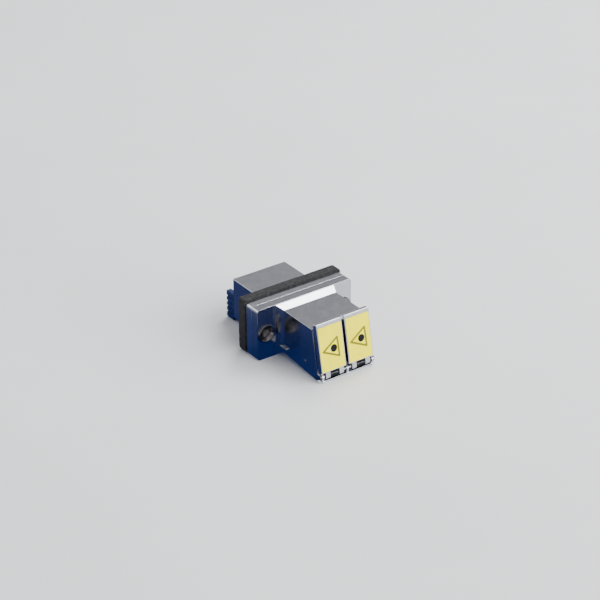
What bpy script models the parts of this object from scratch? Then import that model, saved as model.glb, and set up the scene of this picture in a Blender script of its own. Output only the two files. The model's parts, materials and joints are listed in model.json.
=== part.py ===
"""Shuttered duplex fibre-optic bulkhead adapter.

Frame: +Z up, +Y towards the rear, X across the two ports. The origin is at the middle of the
object's footprint, on the plane it stands on. Sizes are in metres, written as millimetres * MM.
Depths named *_Y are world coordinates; they are laid out from the flange's front face.
"""
import math

import bmesh
import bpy
from mathutils import Matrix, Vector

MM = 0.001
WELD = 0.001 * MM                  # merge distance, far below the smallest feature
FIT = 0.05 * MM                    # clearance between pieces that touch in the real object

# Reach of the object in front of and behind the flange's front face
FRONT_REACH = 14.9 * MM
REAR_REACH = 19.1 * MM
FLANGE_Y = (FRONT_REACH - REAR_REACH) / 2

# Flange, in two plates, and the gasket behind it
FLANGE_WIDTH = 23.6 * MM
FLANGE_HEIGHT = 11.7 * MM
FLANGE_CORNER = 0.7 * MM
PLATE = 2.0 * MM
PLATE_EDGE = 0.16 * MM
REAR_PLATE_Y = FLANGE_Y + PLATE + FIT
FLANGE_BACK_Y = REAR_PLATE_Y + PLATE
GASKET_Y = FLANGE_BACK_Y + FIT
GASKET_THICKNESS = 2.3 * MM
GASKET_WIDTH = 24.2 * MM
GASKET_TOP = 12.2 * MM
GASKET_BOTTOM = 0.06 * MM
GASKET_GAP = 0.15 * MM             # gasket opening to rear body

# Front body
BODY_HALF_WIDTH = 6.5 * MM
BODY_BOTTOM = 1.2 * MM
BODY_TOP = 11.0 * MM
WALL = 0.6 * MM
SHOULDER_DEPTH = 1.9 * MM          # sloped shoulder from flange to body
SHOULDER_HALF_WIDTH = 7.3 * MM
SHOULDER_DROP = 0.1 * MM           # its top edge below the flange's top edge
SHOULDER_BOTTOM = 0.6 * MM
SHOULDER_RUN_ON = 1.1              # its length, in shoulder depths, with what is inside the body
EDGE = 0.12 * MM                   # rounding of cast edges

# Rear body
REAR_HALF_WIDTH = 6.6 * MM
REAR_BOTTOM = 0.9 * MM
REAR_TOP = 10.2 * MM
REAR_BODY_END_Y = FLANGE_Y + 16.5 * MM

# Door hinge: pin axis, and the doors' lean when shut
PIN_Y = FLANGE_Y - 14.15 * MM
PIN_Z = 1.3 * MM
PIN_RADIUS = 0.40 * MM
PIN_HEAD_RADIUS = 0.62 * MM
PIN_HEAD = 0.25 * MM
DOOR_LEAN = math.radians(11)

# Doors, in the hinge's own frame: x along the pin, y into the body, z up the door
DOOR_INNER_X = 0.3 * MM
DOOR_OUTER_X = BODY_HALF_WIDTH
DOOR_FACE = -0.75 * MM
DOOR_BACK = 0.45 * MM
DOOR_LOW = 0.80 * MM
DOOR_HIGH = 11.25 * MM
DOOR_POCKET = 0.35 * MM
KNUCKLE_RADIUS = 0.75 * MM
KNUCKLES_X = ((1.1 * MM, 2.1 * MM), (4.4 * MM, 5.5 * MM))
LABEL_MARGIN = 0.2 * MM
LABEL_LOW = 0.95 * MM
LABEL_HIGH = 10.5 * MM
LABEL_RECESS = 0.08 * MM
LABEL_THICKNESS = 0.10 * MM
LABEL_CORNER = 0.2 * MM

# Hinge ears and feet of the front housing
EAR_RADIUS = 0.78 * MM
EAR_INNER_X = 5.95 * MM            # outer ears run from here to the body's side
CENTRE_EAR_RADIUS = 0.62 * MM
CENTRE_EAR_HALF = 0.25 * MM
FOOT_AHEAD = 0.55 * MM             # foot in front of the pin axis
FOOT_BEHIND = 1.6 * MM
UNDERSIDE_GAP = 0.3 * MM           # foot block to the cut under the body
TOE_RADIUS = 0.32 * MM             # rounded toes across the feet's front
TOE_AHEAD = 0.42 * MM
TOE_Z = 0.34 * MM
TOES_X = ((-6.4 * MM, -5.6 * MM), (-0.45 * MM, 0.45 * MM), (5.6 * MM, 6.4 * MM))
EAR_RISE = 0.6 * MM                # web behind the pin, above its axis
FRONT_CLEARANCE = 0.35 * MM        # door to body rim
SILL_BOTTOM = 0.15 * MM
SILL_TOP = 0.45 * MM
STOP_GAP = 0.05 * MM
STOP_LOW = 9.0 * MM
STOP_HIGH = 10.3 * MM
STOP_DEPTH = 1.4 * MM

# Side rib, running forward from the flange low on each side of the body
RIB_RADIUS = 0.35 * MM
RIB_LENGTH = 3.2 * MM
RIB_Z = 2.4 * MM
RIB_PROUD = 0.1 * MM

# Ports: ferrule axes, plug cavity and the latch channel above it
PORT_X = 3.125 * MM
PORT_Z = 4.6 * MM
PORT_HALF = 2.375 * MM
LATCH_HALF = 1.45 * MM
LATCH_WIDE_HALF = 2.1 * MM
LATCH_TOP = 8.8 * MM
LATCH_SHOULDER = 3.0 * MM          # shoulder length behind the mouth
LATCH_DEPTH = 9.0 * MM
FRAME_MOUTH_Y = FLANGE_Y - 10.9 * MM
FRAME_GAP = 0.05 * MM
MATING_Y = FLANGE_Y + 2.6 * MM

# Rear port frame's protruding nose
NOSE_BOTTOM = 0.2 * MM
NOSE_TOP = 6.4 * MM
NOSE_END_Y = FLANGE_Y + REAR_REACH
NOSE_GROOVE = 0.3 * MM
NOSE_GROOVE_HEIGHT = 0.5 * MM
NOSE_GROOVE_PITCH = 1.2 * MM
NOSE_GROOVES = 4

# Sleeve holders and alignment sleeves
HOLDER_HALF_WIDTH = 5.85 * MM
HOLDER_BOTTOM = 1.9 * MM
HOLDER_TOP = 9.5 * MM
HOLDER_PLATE = 1.2 * MM
HOLDER_TUBE_RADIUS = 1.45 * MM
SLEEVE_RADIUS = 0.81 * MM
SLEEVE_BORE = 0.63 * MM
SLEEVE_LENGTH = 6.8 * MM
SLEEVE_SLOT = 0.3 * MM
LIP = 0.3 * MM
LIP_BORE = 0.70 * MM

# Mounting bushings in the ears
MOUNT_X = 9.65 * MM
MOUNT_Z = FLANGE_HEIGHT / 2
BUSHING_COLLAR_RADIUS = 2.0 * MM
BUSHING_COLLAR = 0.35 * MM
BUSHING_RADIUS = 1.5 * MM
BUSHING_BORE = 1.1 * MM
COUNTERSINK_RADIUS = 1.65 * MM
COUNTERSINK = 0.8 * MM

# Pins that hold the front port frame
INSERT_PIN_Y = FLANGE_Y - 9.0 * MM
INSERT_PIN_Z = 2.6 * MM
INSERT_PIN_RADIUS = 0.30 * MM
INSERT_PIN_INNER_X = 5.62 * MM
INSERT_PIN_PROUD = 0.12 * MM

# Torsion springs
SPRING_WIRE = 0.10 * MM            # wire radius
SPRING_COIL = 0.62 * MM
SPRING_PITCH = 0.30 * MM
SPRING_START_X = 2.42 * MM
SPRING_TURNS = 6
SPRING_LEG = 1.9 * MM
SPRING_STEPS = 12                  # straight pieces in a turn

ROUND = 32                         # sides of round pieces
SMALL_ROUND = 20
SHARP = math.radians(16)           # edges above this angle stay sharp
BEYOND = 1.0 * MM                  # how far a cutter runs past the face it opens

# Colours: base colour, roughness, metallic
NICKEL = ((0.62, 0.62, 0.64), 0.25, 1.0)
DOOR_METAL = ((0.78, 0.78, 0.80), 0.30, 1.0)
STEEL = ((0.60, 0.60, 0.62), 0.20, 1.0)
GASKET_GREY = ((0.13, 0.14, 0.14), 0.90, 0.0)
LABEL_YELLOW = ((0.83, 0.79, 0.20), 0.45, 0.0)
PORT_BLUE = ((0.02, 0.05, 0.20), 0.50, 0.0)
HOLDER_GREY = ((0.30, 0.31, 0.33), 0.55, 0.0)
ZIRCONIA = ((0.90, 0.89, 0.85), 0.25, 0.0)

FRONT_TURN = Matrix.Rotation(math.radians(90), 4, "X")       # local Z to the front
SIDE_TURN = Matrix.Rotation(math.radians(90), 4, "Y")        # local Z to +X


def clear_scene():
    for item in list(bpy.data.objects):
        bpy.data.objects.remove(item, do_unlink=True)


def new_collection(name):
    collection = bpy.data.collections.new(name)
    bpy.context.scene.collection.children.link(collection)
    return collection


def make_material(name, finish):
    colour, roughness, metallic = finish
    material = bpy.data.materials.new(name)
    material.use_nodes = True
    shader = material.node_tree.nodes["Principled BSDF"]
    shader.inputs["Base Color"].default_value = (*colour, 1.0)
    shader.inputs["Roughness"].default_value = roughness
    shader.inputs["Metallic"].default_value = metallic
    return material


def add_object(name, mesh, collection=None):
    item = bpy.data.objects.new(name, mesh)
    (collection or CUTTERS).objects.link(item)
    if collection is None:
        item.hide_render = True
        item.display_type = "WIRE"
    return item


def add_part(name, mesh, finish):
    part = add_object(name, mesh, PARTS)
    part.data.materials.append(make_material(name, finish))
    return part


def mesh_from(bm, name):
    mesh = bpy.data.meshes.new(name)
    bm.to_mesh(mesh)
    bm.free()
    return mesh


def box_mesh(name, x_span, y_span, z_span):
    """A box between the three pairs of limits."""
    spans = (x_span, y_span, z_span)
    centre = Vector(sum(span) / 2 for span in spans)
    size = [span[1] - span[0] for span in spans]
    bm = bmesh.new()
    matrix = Matrix.Translation(centre) @ Matrix.Diagonal((*size, 1.0))
    bmesh.ops.create_cube(bm, size=1.0, matrix=matrix)
    return mesh_from(bm, name)


def rod_mesh(name, radius, start, end, sides=ROUND):
    """A straight round bar from start to end."""
    start, end = Vector(start), Vector(end)
    along = end - start
    matrix = Matrix.Translation((start + end) / 2) @ along.to_track_quat("Z", "X").to_matrix().to_4x4()
    bm = bmesh.new()
    bmesh.ops.create_cone(bm, cap_ends=True, segments=sides, radius1=radius, radius2=radius,
                          depth=along.length, matrix=matrix)
    return mesh_from(bm, name)


def outline_mesh(name, points, thickness, matrix):
    """A flat outline of the given thickness, centred on its plane, then placed by matrix."""
    curve = bpy.data.curves.new(name, "CURVE")
    curve.dimensions = "2D"
    curve.fill_mode = "BOTH"
    curve.extrude = thickness / 2
    spline = curve.splines.new("POLY")
    spline.points.add(len(points) - 1)
    for point, (u, v) in zip(spline.points, points):
        point.co = (u, v, 0.0, 1.0)
    spline.use_cyclic_u = True
    return solid_from_curve(curve, matrix)


def solid_from_curve(curve, matrix=Matrix.Identity(4)):
    """The curve's evaluated mesh, with its loose caps welded on."""
    holder = bpy.data.objects.new(curve.name, curve)
    CUTTERS.objects.link(holder)
    graph = bpy.context.evaluated_depsgraph_get()
    mesh = bpy.data.meshes.new_from_object(holder.evaluated_get(graph))
    bpy.data.objects.remove(holder, do_unlink=True)
    bm = bmesh.new()
    bm.from_mesh(mesh)
    bmesh.ops.remove_doubles(bm, verts=bm.verts, dist=WELD)
    bmesh.ops.recalc_face_normals(bm, faces=bm.faces)
    bm.to_mesh(mesh)
    bm.free()
    mesh.transform(matrix)
    return mesh


def rounded_rectangle(half_width, low, high, radius, steps=5):
    """Outline points of a rectangle with rounded corners, anticlockwise."""
    corners = ((half_width - radius, low + radius, -90), (half_width - radius, high - radius, 0),
               (radius - half_width, high - radius, 90), (radius - half_width, low + radius, 180))
    points = []
    for u, v, first in corners:
        for step in range(steps + 1):
            angle = math.radians(first + 90 * step / steps)
            points.append((u + radius * math.cos(angle), v + radius * math.sin(angle)))
    return points


def upright_plate(name, half_width, low, high, radius, y_span):
    """A rounded plate standing across the Y axis."""
    matrix = Matrix.Translation((0, sum(y_span) / 2, 0)) @ FRONT_TURN
    points = rounded_rectangle(half_width, low, high, radius)
    return outline_mesh(name, points, y_span[1] - y_span[0], matrix)


def turned_part(name, profile, finish, matrix, sides=ROUND):
    """A part turned about local Z. The profile of (radius, height) runs down its outer side."""
    closed = profile[0][0] > 0
    mesh = bpy.data.meshes.new(name)
    edges = [(i, i + 1) for i in range(len(profile) - 1)]
    if closed:
        edges.append((len(profile) - 1, 0))
    mesh.from_pydata([(radius, 0, height) for radius, height in profile], edges, [])
    part = add_part(name, mesh, finish)
    part.matrix_world = matrix
    screw = part.modifiers.new("turn", "SCREW")
    screw.steps = sides
    screw.render_steps = sides
    screw.use_merge_vertices = True
    screw.merge_threshold = WELD
    screw.use_smooth_shade = True
    return part


def combine(part, tool_mesh, operation):
    """Adds an exact Boolean with a tool that stays out of the build."""
    tool = add_object(f"{part.name}_{tool_mesh.name}", tool_mesh)
    tool.parent = part.parent
    boolean = part.modifiers.new(tool_mesh.name, "BOOLEAN")
    boolean.operation = operation
    boolean.solver = "EXACT"
    boolean.object = tool
    return tool


def cut(part, tool_mesh):
    return combine(part, tool_mesh, "DIFFERENCE")


def join(part, tool_mesh):
    return combine(part, tool_mesh, "UNION")


def round_edges(item, width, segments=2):
    bevel = item.modifiers.new("rounded_edges", "BEVEL")
    bevel.width = width
    bevel.segments = segments
    bevel.limit_method = "ANGLE"
    bevel.angle_limit = math.radians(40)


def mirrored(span, side):
    """An X span on the right-hand side, or its mirror image on the left."""
    return span if side > 0 else (-span[1], -span[0])


def hinge_point(depth, height):
    """World Y and Z of a point given in the closed door's own frame."""
    return (PIN_Y + depth * math.cos(DOOR_LEAN) + height * math.sin(DOOR_LEAN),
            PIN_Z - depth * math.sin(DOOR_LEAN) + height * math.cos(DOOR_LEAN))


def body_profile():
    """Side outline of the front body as (y, z): shell, sloping rim, ear and foot."""
    rim = DOOR_BACK + FRONT_CLEARANCE
    rim_top = (BODY_TOP - PIN_Z + rim * math.sin(DOOR_LEAN)) / math.cos(DOOR_LEAN)
    return [(FLANGE_Y + PLATE / 4, BODY_BOTTOM), (FLANGE_Y + PLATE / 4, BODY_TOP),
            hinge_point(rim, rim_top), hinge_point(rim, EAR_RISE), hinge_point(0, EAR_RISE),
            (PIN_Y - FOOT_AHEAD, PIN_Z), (PIN_Y - FOOT_AHEAD, 0),
            (PIN_Y + FOOT_BEHIND, 0), (FLANGE_Y - SHOULDER_DEPTH, BODY_BOTTOM - EDGE)]


def shoulder_mesh():
    """Sloped shoulder that narrows from the flange's face to the body, and runs on inside it."""
    top = FLANGE_HEIGHT - SHOULDER_DROP
    front = {"half_width": SHOULDER_HALF_WIDTH + SHOULDER_RUN_ON * (BODY_HALF_WIDTH - SHOULDER_HALF_WIDTH),
             "top": top + SHOULDER_RUN_ON * (BODY_TOP - top),
             "bottom": SHOULDER_BOTTOM + SHOULDER_RUN_ON * (BODY_BOTTOM - SHOULDER_BOTTOM)}
    mesh = box_mesh("shoulder", (-SHOULDER_HALF_WIDTH, SHOULDER_HALF_WIDTH),
                    (FLANGE_Y - SHOULDER_RUN_ON * SHOULDER_DEPTH, FLANGE_Y + FIT), (SHOULDER_BOTTOM, top))
    for vertex in mesh.vertices:
        if vertex.co.y < FLANGE_Y:
            vertex.co.x = math.copysign(front["half_width"], vertex.co.x)
            vertex.co.z = front["top"] if vertex.co.z > BODY_TOP else front["bottom"]
    return mesh


def make_front_housing():
    plate = upright_plate("front_plate", FLANGE_WIDTH / 2, 0, FLANGE_HEIGHT, FLANGE_CORNER,
                          (FLANGE_Y, FLANGE_Y + PLATE))
    housing = add_part("front_housing", plate, NICKEL)
    round_edges(housing, PLATE_EDGE)
    join(housing, shoulder_mesh())
    turn = Matrix.Rotation(math.radians(90), 4, "Z") @ Matrix.Rotation(math.radians(90), 4, "X")
    body = outline_mesh("body", body_profile(), 2 * BODY_HALF_WIDTH, turn)
    round_edges(join(housing, body), EDGE)
    centre_x = 2 * CENTRE_EAR_HALF
    join(housing, rod_mesh("centre_ear", CENTRE_EAR_RADIUS, (-centre_x, PIN_Y, PIN_Z),
                           (centre_x, PIN_Y, PIN_Z), SMALL_ROUND))
    shell_x = BODY_HALF_WIDTH - WALL
    rim_y = hinge_point(DOOR_BACK + FRONT_CLEARANCE, EAR_RISE)[0]
    cut(housing, box_mesh("cavity", (-shell_x, shell_x), (rim_y - FIT, FLANGE_Y + PLATE + BEYOND),
                          (BODY_BOTTOM + WALL, BODY_TOP - WALL)))
    foot_y = PIN_Y + FOOT_BEHIND + UNDERSIDE_GAP
    cut(housing, box_mesh("underside", (-shell_x, shell_x), (foot_y, FLANGE_Y - SHOULDER_DEPTH),
                          (-BEYOND, BODY_BOTTOM)))
    for side in (-1, 1):
        join(housing, rod_mesh("outer_ear", EAR_RADIUS,
                               (side * (EAR_INNER_X - BEYOND / 2), PIN_Y, PIN_Z),
                               (side * (BODY_HALF_WIDTH - EDGE / 2), PIN_Y, PIN_Z), SMALL_ROUND))
        bay = mirrored((CENTRE_EAR_HALF, EAR_INNER_X), side)
        cut(housing, box_mesh("hinge_bay", bay, (PIN_Y - 2 * BEYOND, rim_y + 4 * FIT),
                              (SILL_TOP, PIN_Z + 2 * BEYOND)))
        cut(housing, box_mesh("spring_pocket", bay, (PIN_Y, foot_y + FIT), (SILL_TOP, BODY_BOTTOM)))
        cut(housing, box_mesh("sill_relief", bay, (PIN_Y - 2 * BEYOND, foot_y + FIT),
                              (-BEYOND, SILL_BOTTOM)))
        stop = box_mesh("door_stop", mirrored((shell_x + FIT, BODY_HALF_WIDTH - FIT), side),
                        (DOOR_BACK + STOP_GAP, STOP_DEPTH), (STOP_LOW, STOP_HIGH))
        stop.transform(HINGE_FRAME)
        join(housing, stop)
        rib_x = side * (BODY_HALF_WIDTH + RIB_PROUD)
        rib = rod_mesh("rib", RIB_RADIUS, (rib_x, FLANGE_Y - RIB_LENGTH, RIB_Z),
                       (rib_x, FLANGE_Y + PLATE / 4, RIB_Z), SMALL_ROUND)
        round_edges(join(housing, rib), EDGE)
        cut(housing, rod_mesh("bushing_hole", BUSHING_RADIUS + FIT,
                              (side * MOUNT_X, FLANGE_Y - BEYOND, MOUNT_Z),
                              (side * MOUNT_X, FLANGE_Y + PLATE + BEYOND, MOUNT_Z)))
        cut(housing, rod_mesh("insert_pin_hole", INSERT_PIN_RADIUS + FIT,
                              (side * (shell_x - BEYOND), INSERT_PIN_Y, INSERT_PIN_Z),
                              (side * (BODY_HALF_WIDTH + BEYOND), INSERT_PIN_Y, INSERT_PIN_Z),
                              SMALL_ROUND))
    for toe_x in TOES_X:
        toe_y = PIN_Y - TOE_AHEAD
        toe = rod_mesh("toe", TOE_RADIUS, (toe_x[0], toe_y, TOE_Z), (toe_x[1], toe_y, TOE_Z), SMALL_ROUND)
        round_edges(join(housing, toe), EDGE)
    cut(housing, rod_mesh("pin_hole", PIN_RADIUS + FIT, (-BODY_HALF_WIDTH - BEYOND, PIN_Y, PIN_Z),
                          (BODY_HALF_WIDTH + BEYOND, PIN_Y, PIN_Z), SMALL_ROUND))


def make_rear_housing():
    plate = upright_plate("rear_plate", FLANGE_WIDTH / 2, 0, FLANGE_HEIGHT, FLANGE_CORNER,
                          (REAR_PLATE_Y, FLANGE_BACK_Y))
    housing = add_part("rear_housing", plate, NICKEL)
    round_edges(housing, PLATE_EDGE)
    body = box_mesh("body", (-REAR_HALF_WIDTH, REAR_HALF_WIDTH),
                    (REAR_PLATE_Y + PLATE / 2, REAR_BODY_END_Y), (REAR_BOTTOM, REAR_TOP))
    round_edges(join(housing, body), EDGE)
    shell_x = REAR_HALF_WIDTH - WALL
    cut(housing, box_mesh("cavity", (-shell_x, shell_x),
                          (REAR_PLATE_Y - BEYOND, REAR_BODY_END_Y + BEYOND),
                          (REAR_BOTTOM + WALL, REAR_TOP - WALL)))
    for side in (-1, 1):
        cut(housing, rod_mesh("bushing_hole", BUSHING_RADIUS + FIT,
                              (side * MOUNT_X, REAR_PLATE_Y - BEYOND, MOUNT_Z),
                              (side * MOUNT_X, FLANGE_BACK_Y + BEYOND, MOUNT_Z)))


def make_gasket():
    y_span = (GASKET_Y, GASKET_Y + GASKET_THICKNESS)
    sheet = upright_plate("sheet", GASKET_WIDTH / 2, GASKET_BOTTOM, GASKET_TOP, FLANGE_CORNER, y_span)
    gasket = add_part("emi_gasket", sheet, GASKET_GREY)
    opening_x = REAR_HALF_WIDTH + GASKET_GAP
    cut_span = (y_span[0] - BEYOND, y_span[1] + BEYOND)
    cut(gasket, box_mesh("opening", (-opening_x, opening_x), cut_span,
                         (REAR_BOTTOM - GASKET_GAP, REAR_TOP + GASKET_GAP)))
    for side in (-1, 1):
        cut(gasket, rod_mesh("screw_hole", BUSHING_RADIUS, (side * MOUNT_X, cut_span[0], MOUNT_Z),
                             (side * MOUNT_X, cut_span[1], MOUNT_Z)))


def cut_ports(frame, mouth_y, inner_y):
    """Cuts both plug cavities, right through, and the latch channels, from the mouth inwards."""
    inwards = 1 if inner_y > mouth_y else -1
    cavity_y = sorted((mouth_y - inwards * BEYOND, inner_y + inwards * BEYOND))
    neck_y = sorted((mouth_y - inwards * BEYOND, mouth_y + inwards * LATCH_DEPTH))
    wide_y = sorted((mouth_y + inwards * LATCH_SHOULDER, mouth_y + inwards * LATCH_DEPTH))
    square_z = (PORT_Z - PORT_HALF, PORT_Z + PORT_HALF)
    latch_z = (PORT_Z, LATCH_TOP)
    for side in (-1, 1):
        centre = side * PORT_X
        cut(frame, box_mesh("port", (centre - PORT_HALF, centre + PORT_HALF), cavity_y, square_z))
        cut(frame, box_mesh("latch_neck", (centre - LATCH_HALF, centre + LATCH_HALF), neck_y, latch_z))
        cut(frame, box_mesh("latch_catch", (centre - LATCH_WIDE_HALF, centre + LATCH_WIDE_HALF),
                            wide_y, latch_z))


def make_front_port_frame():
    half_width = BODY_HALF_WIDTH - WALL - FRAME_GAP
    inner_y = MATING_Y - FIT / 2 - HOLDER_PLATE - FIT
    block = box_mesh("block", (-half_width, half_width), (FRAME_MOUTH_Y, inner_y),
                     (BODY_BOTTOM + WALL + FRAME_GAP, BODY_TOP - WALL - FRAME_GAP))
    frame = add_part("front_port_frame", block, PORT_BLUE)
    cut_ports(frame, FRAME_MOUTH_Y, inner_y)
    for side in (-1, 1):
        cut(frame, rod_mesh("insert_pin_hole", INSERT_PIN_RADIUS + FIT,
                            (side * PORT_X, INSERT_PIN_Y, INSERT_PIN_Z),
                            (side * (half_width + BEYOND), INSERT_PIN_Y, INSERT_PIN_Z), SMALL_ROUND))


def make_rear_port_frame():
    half_width = REAR_HALF_WIDTH - WALL - FRAME_GAP
    inner_y = MATING_Y + FIT / 2 + HOLDER_PLATE + FIT
    block = box_mesh("block", (-half_width, half_width), (inner_y, REAR_BODY_END_Y - FIT),
                     (REAR_BOTTOM + WALL + FRAME_GAP, REAR_TOP - WALL - FRAME_GAP))
    frame = add_part("rear_port_frame", block, PORT_BLUE)
    link = box_mesh("link", (-half_width, half_width), (REAR_BODY_END_Y - 2 * BEYOND, NOSE_END_Y - BEYOND),
                    (REAR_BOTTOM + WALL + FRAME_GAP, NOSE_TOP - FIT))
    join(frame, link)
    nose = box_mesh("nose", (-REAR_HALF_WIDTH, REAR_HALF_WIDTH), (REAR_BODY_END_Y + FIT, NOSE_END_Y),
                    (NOSE_BOTTOM, NOSE_TOP))
    round_edges(join(frame, nose), EDGE)
    cut_ports(frame, REAR_BODY_END_Y, inner_y)
    middle_z = (NOSE_BOTTOM + NOSE_TOP) / 2
    for side in (-1, 1):
        centre = side * PORT_X
        cut(frame, box_mesh("nose_port", (centre - PORT_HALF, centre + PORT_HALF),
                            (REAR_BODY_END_Y - BEYOND, NOSE_END_Y + BEYOND),
                            (PORT_Z - PORT_HALF, PORT_Z + PORT_HALF)))
        groove_x = mirrored((REAR_HALF_WIDTH - NOSE_GROOVE, REAR_HALF_WIDTH + BEYOND), side)
        for index in range(NOSE_GROOVES):
            height = middle_z + (index - (NOSE_GROOVES - 1) / 2) * NOSE_GROOVE_PITCH
            cut(frame, box_mesh("groove", groove_x, (REAR_BODY_END_Y + 4 * FIT, NOSE_END_Y + BEYOND),
                                (height - NOSE_GROOVE_HEIGHT / 2, height + NOSE_GROOVE_HEIGHT / 2)))


def make_sleeve_holder(name, towards):
    """One half of the sleeve carrier. towards is -1 for the front half and 1 for the rear half."""
    face_y = MATING_Y + towards * FIT / 2
    plate_y = sorted((face_y, face_y + towards * HOLDER_PLATE))
    holder = add_part(name, box_mesh("plate", (-HOLDER_HALF_WIDTH, HOLDER_HALF_WIDTH), plate_y,
                                     (HOLDER_BOTTOM, HOLDER_TOP)), HOLDER_GREY)
    sleeve_end = MATING_Y + towards * (SLEEVE_LENGTH / 2 + FIT)
    for side in (-1, 1):
        x = side * PORT_X
        join(holder, rod_mesh("tube", HOLDER_TUBE_RADIUS, (x, face_y + towards * FIT, PORT_Z),
                              (x, sleeve_end + towards * LIP, PORT_Z)))
        cut(holder, rod_mesh("sleeve_bore", SLEEVE_RADIUS + FIT, (x, face_y - towards * BEYOND, PORT_Z),
                             (x, sleeve_end, PORT_Z)))
        cut(holder, rod_mesh("lip_bore", LIP_BORE, (x, face_y, PORT_Z),
                             (x, sleeve_end + towards * BEYOND, PORT_Z)))


def make_alignment_sleeve(name, x):
    half = SLEEVE_LENGTH / 2
    chamfer = (SLEEVE_RADIUS - SLEEVE_BORE) / 3
    profile = [(SLEEVE_RADIUS - chamfer, half), (SLEEVE_RADIUS, half - chamfer),
               (SLEEVE_RADIUS, chamfer - half), (SLEEVE_RADIUS - chamfer, -half),
               (SLEEVE_BORE + chamfer, -half), (SLEEVE_BORE, chamfer - half),
               (SLEEVE_BORE, half - chamfer), (SLEEVE_BORE + chamfer, half)]
    sleeve = turned_part(name, profile, ZIRCONIA, Matrix.Translation((x, MATING_Y, PORT_Z)) @ FRONT_TURN)
    cut(sleeve, box_mesh("slot", (x - SLEEVE_SLOT / 2, x + SLEEVE_SLOT / 2),
                         (MATING_Y - 2 * half, MATING_Y + 2 * half), (PORT_Z, PORT_Z + BEYOND)))


def make_mount_bushing(name, side):
    """Collared bushing, turned about the screw axis. Heights run from the rear face to the collar."""
    length = FLANGE_BACK_Y - FLANGE_Y - FIT
    top = length + BUSHING_COLLAR
    step = length + FIT
    profile = [(COUNTERSINK_RADIUS, top), (BUSHING_COLLAR_RADIUS - EDGE, top),
               (BUSHING_COLLAR_RADIUS, top - EDGE), (BUSHING_COLLAR_RADIUS, step),
               (BUSHING_RADIUS, step), (BUSHING_RADIUS, 0), (BUSHING_BORE, 0),
               (BUSHING_BORE, top - COUNTERSINK)]
    turned_part(name, profile, STEEL,
                Matrix.Translation((side * MOUNT_X, FLANGE_BACK_Y - FIT, MOUNT_Z)) @ FRONT_TURN)


def make_insert_pin(name, side):
    tip = BODY_HALF_WIDTH + INSERT_PIN_PROUD
    dome = INSERT_PIN_RADIUS / 2
    profile = [(0, tip), (INSERT_PIN_RADIUS - dome / 2, tip - dome / 4), (INSERT_PIN_RADIUS, tip - dome),
               (INSERT_PIN_RADIUS, INSERT_PIN_INNER_X), (0, INSERT_PIN_INNER_X)]
    turn = SIDE_TURN if side > 0 else Matrix.Rotation(math.radians(-90), 4, "Y")
    turned_part(name, profile, STEEL, Matrix.Translation((0, INSERT_PIN_Y, INSERT_PIN_Z)) @ turn,
                SMALL_ROUND)


def make_hinge_pin():
    inner = BODY_HALF_WIDTH + FIT
    outer = inner + PIN_HEAD
    rim = PIN_HEAD_RADIUS - PIN_HEAD / 2
    profile = [(0, outer), (rim, outer), (PIN_HEAD_RADIUS, outer - PIN_HEAD / 2),
               (PIN_HEAD_RADIUS, inner), (PIN_RADIUS, inner), (PIN_RADIUS, -inner),
               (PIN_HEAD_RADIUS, -inner), (PIN_HEAD_RADIUS, PIN_HEAD / 2 - outer), (rim, -outer),
               (0, -outer)]
    turned_part("hinge_pin", profile, STEEL, Matrix.Translation((0, PIN_Y, PIN_Z)) @ SIDE_TURN,
                SMALL_ROUND)


def make_door(name, side, axis):
    """A door with its knuckles, and its label, hung from an empty on the hinge axis."""
    slab = box_mesh("slab", mirrored((DOOR_INNER_X, DOOR_OUTER_X), side), (DOOR_FACE, DOOR_BACK),
                    (DOOR_LOW, DOOR_HIGH))
    door = add_part(name, slab, DOOR_METAL)
    door.parent = axis
    round_edges(door, EDGE)
    for knuckle in KNUCKLES_X:
        span = mirrored(knuckle, side)
        join(door, box_mesh("lug", span, (DOOR_FACE, DOOR_BACK), (0, DOOR_LOW + EDGE)))
        join(door, rod_mesh("knuckle", KNUCKLE_RADIUS, (span[0], 0, 0), (span[1], 0, 0), SMALL_ROUND))
    cut(door, rod_mesh("pin_bore", PIN_RADIUS + FIT, (0, 0, 0), (side * DOOR_OUTER_X, 0, 0), SMALL_ROUND))
    label_x = (DOOR_INNER_X + LABEL_MARGIN, DOOR_OUTER_X - LABEL_MARGIN)
    cut(door, box_mesh("label_recess", mirrored(label_x, side),
                       (DOOR_FACE - BEYOND, DOOR_FACE + LABEL_RECESS), (LABEL_LOW, LABEL_HIGH)))
    pocket_x = (DOOR_INNER_X + 3 * LABEL_MARGIN, DOOR_OUTER_X - 3 * LABEL_MARGIN)
    cut(door, box_mesh("back_pocket", mirrored(pocket_x, side),
                       (DOOR_BACK - DOOR_POCKET, DOOR_BACK + BEYOND),
                       (DOOR_LOW + 2 * BEYOND, DOOR_HIGH - BEYOND)))
    half_width = (label_x[1] - label_x[0]) / 2 - FIT / 2
    face = DOOR_FACE + LABEL_RECESS - FIT / 2
    points = rounded_rectangle(half_width, LABEL_LOW + FIT / 2, LABEL_HIGH - FIT / 2, LABEL_CORNER, 3)
    place = Matrix.Translation((side * sum(label_x) / 2, face - LABEL_THICKNESS / 2, 0)) @ FRONT_TURN
    sheet = outline_mesh("sheet", points, LABEL_THICKNESS, place)
    label = add_part(f"{name}_label", sheet, LABEL_YELLOW)
    label.parent = axis


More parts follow.
